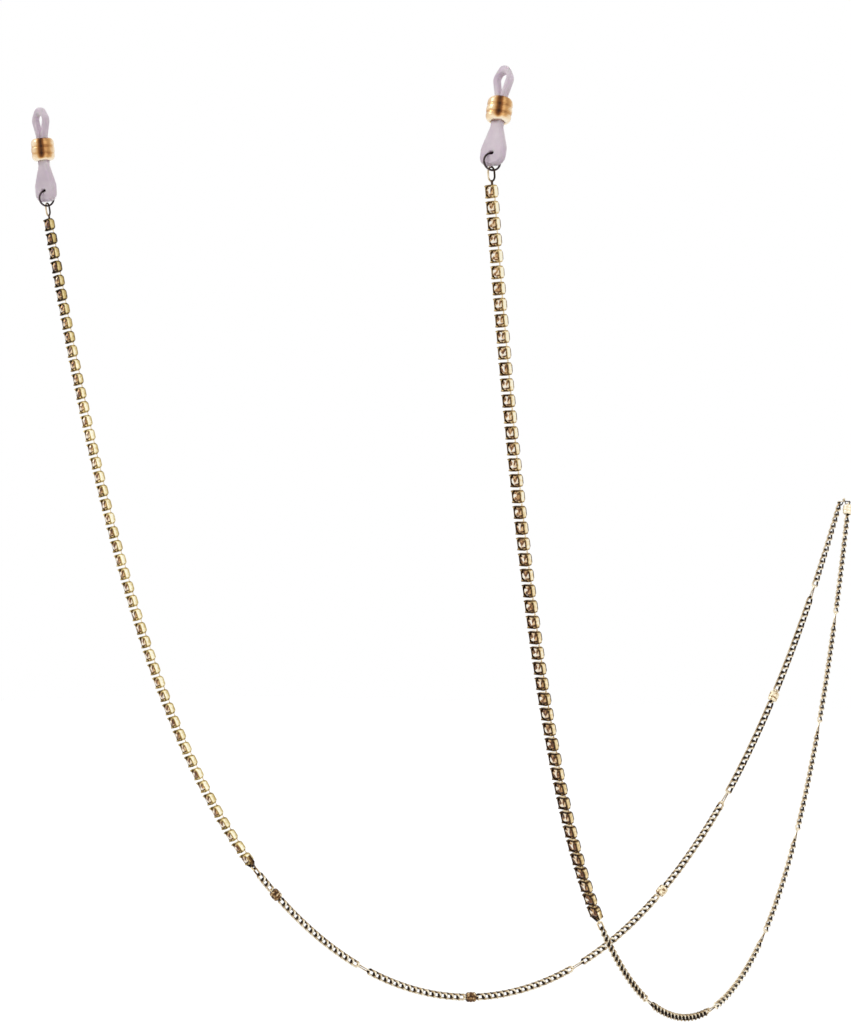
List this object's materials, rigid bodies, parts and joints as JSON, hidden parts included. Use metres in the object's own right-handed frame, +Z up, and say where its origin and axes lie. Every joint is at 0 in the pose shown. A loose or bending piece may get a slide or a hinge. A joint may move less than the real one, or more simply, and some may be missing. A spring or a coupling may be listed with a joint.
{
  "type": "eyeglasses chain strap",
  "caption": "Neck strap for eyeglasses: silicone temple loops, rows of square stone cups, then fine curb chain round the nape.",
  "frame": {"origin": "where the two nape links meet, on top of the thin hook that holds the strap at the back of the neck", "axes": "+Z up, the wearer faces -Y, the wearer's left is +X"},
  "size_m": [0.1519, 0.1771, 0.2368],
  "materials": {
    "silicone": "translucent lilac-grey silicone, satin",
    "bead_gold": "polished amber gold",
    "dark_ring": "gunmetal, lightly polished",
    "cup_gold": "yellow gold plate, rubbed at the edges",
    "stone": "dark topaz glass, foiled back",
    "antique_brass": "dark bronze plate",
    "pale_gold": "pale gold plate, polished",
    "chain_brass": "antique gold plate"
  },
  "bodies": {
    "held_ends": {"left_temple_loop": "silicone", "right_temple_loop": "silicone", "nape_links": "chain_brass"},
    "left_ring": {"left_grip_ring": "dark_ring"},
    "left_bead": {"left_slide_bead": "bead_gold"},
    "left_cup_chain": {"left_bars_lower": "antique_brass", "left_bars_middle": "antique_brass", "left_bars_upper": "antique_brass", "left_crimp": "antique_brass", "left_cups_lower": "cup_gold", "left_cups_middle": "cup_gold", "left_cups_upper": "cup_gold", "left_end_link": "antique_brass", "left_stones_lower": "stone", "left_stones_middle": "stone", "left_stones_upper": "stone"},
    "left_fine_chain": {"left_curb_run_1": "chain_brass", "left_curb_run_2": "chain_brass", "left_curb_run_3": "chain_brass", "left_curb_run_4": "chain_brass", "left_curb_run_5": "chain_brass", "left_curb_run_6": "chain_brass", "left_curb_run_7": "chain_brass", "left_jump_link": "chain_brass", "left_long_links": "pale_gold", "nape_long_link": "pale_gold", "nape_barrel_bead": "pale_gold"},
    "right_ring": {"right_grip_ring": "dark_ring"},
    "right_bead": {"right_slide_bead": "bead_gold"},
    "right_cup_chain": {"right_bars_lower": "antique_brass", "right_bars_middle": "antique_brass", "right_bars_upper": "antique_brass", "right_crimp": "antique_brass", "right_cups_lower": "cup_gold", "right_cups_middle": "cup_gold", "right_cups_upper": "cup_gold", "right_end_link": "antique_brass", "right_stones_lower": "stone", "right_stones_middle": "stone", "right_stones_upper": "stone"},
    "right_fine_chain": {"right_barrel_beads": "pale_gold", "right_curb_run_1": "chain_brass", "right_curb_run_2": "chain_brass", "right_curb_run_3": "chain_brass", "right_curb_run_4": "chain_brass", "right_curb_run_5": "chain_brass", "right_curb_run_6": "chain_brass", "right_curb_run_7": "chain_brass", "right_curb_run_8": "chain_brass", "right_curb_run_9": "chain_brass", "right_jump_link": "chain_brass", "right_long_links": "pale_gold"}
  },
  "joints": [
    {"name": "left_ring_turn", "type": "hinge", "parent": "held_ends", "child": "left_ring", "pos_m": [0.0048, -0.17107, 0.07299], "axis": [-0.866, 0.4872, -0.1125], "continuous": true},
    {"name": "left_bead_slide", "type": "slide", "parent": "held_ends", "child": "left_bead", "axis": [0, 0.225, 0.9744], "range_m": [-0.001, 0.0006]},
    {"name": "left_strand_swing", "type": "hinge", "parent": "held_ends", "child": "left_cup_chain", "pos_m": [0.0048, -0.17147, 0.07123], "axis": [0.0181, -0.9215, 0.388], "range_deg": [-2, 40]},
    {"name": "left_fine_swing", "type": "hinge", "parent": "left_cup_chain", "child": "left_fine_chain", "pos_m": [0.00385, -0.1264, -0.10661], "axis": [0.0147, -0.7672, -0.6413], "range_deg": [-2, 30]},
    {"name": "right_ring_turn", "type": "hinge", "parent": "held_ends", "child": "right_ring", "pos_m": [-0.14031, -0.17158, 0.07731], "axis": [-0.9397, 0.3398, 0.0387], "continuous": true},
    {"name": "right_bead_slide", "type": "slide", "parent": "held_ends", "child": "right_bead", "axis": [0, -0.1132, 0.9936], "range_m": [-0.001, 0.0006]},
    {"name": "right_strand_swing", "type": "hinge", "parent": "held_ends", "child": "right_cup_chain", "pos_m": [-0.14031, -0.17138, 0.07552], "axis": [0.5949, 0.734, -0.3276], "range_deg": [-2, 40]},
    {"name": "right_fine_swing", "type": "hinge", "parent": "right_cup_chain", "child": "right_fine_chain", "pos_m": [-0.10527, -0.12823, -0.09924], "axis": [0.5407, 0.6677, 0.5117], "range_deg": [-2, 30]}
  ]
}
